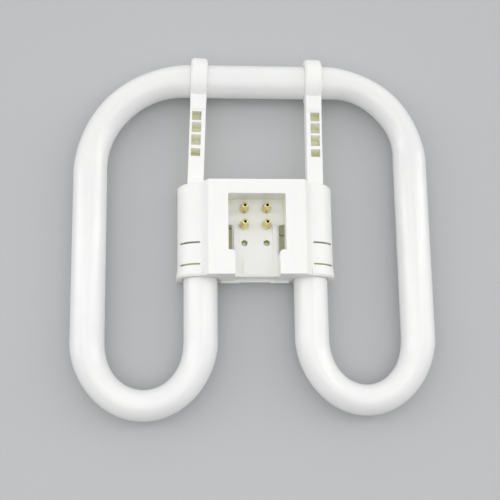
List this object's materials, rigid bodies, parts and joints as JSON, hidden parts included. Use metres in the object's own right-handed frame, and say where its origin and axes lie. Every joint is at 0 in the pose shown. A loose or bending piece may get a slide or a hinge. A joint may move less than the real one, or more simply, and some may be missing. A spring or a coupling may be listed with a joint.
{
  "type": "square compact fluorescent lamp",
  "caption": "Flat square fluorescent lamp: bent white glass tube with two U bends, moulded plastic cap with recessed brass pins, and two arms hooked round the tube.",
  "frame": {"origin": "under the middle of the lamp's outline, on the surface it lies on", "axes": "+Z out of the contact pins, +Y from the U bends towards the hooked top run, +X to the right seen from the pins"},
  "size_m": [0.1382, 0.1421, 0.0207],
  "materials": {
    "glass": "smooth glass, coated white inside so that it is opaque",
    "white_plastic": "satin moulded plastic",
    "pin_brass": "bright turned brass",
    "bare_wire": "dull nickel-plated wire",
    "silicone": "white silicone cement"
  },
  "bodies": {
    "root": {"discharge_tube": "glass", "cap_front_shell": "white_plastic", "cap_back_cover": "white_plastic", "contact_pin_upper_left": "pin_brass", "lead_wire_upper_left": "bare_wire", "contact_pin_lower_left": "pin_brass", "lead_wire_lower_left": "bare_wire", "tube_cement_left": "silicone", "contact_pin_upper_right": "pin_brass", "lead_wire_upper_right": "bare_wire", "contact_pin_lower_right": "pin_brass", "lead_wire_lower_right": "bare_wire", "tube_cement_right": "silicone"}
  },
  "joints": []
}
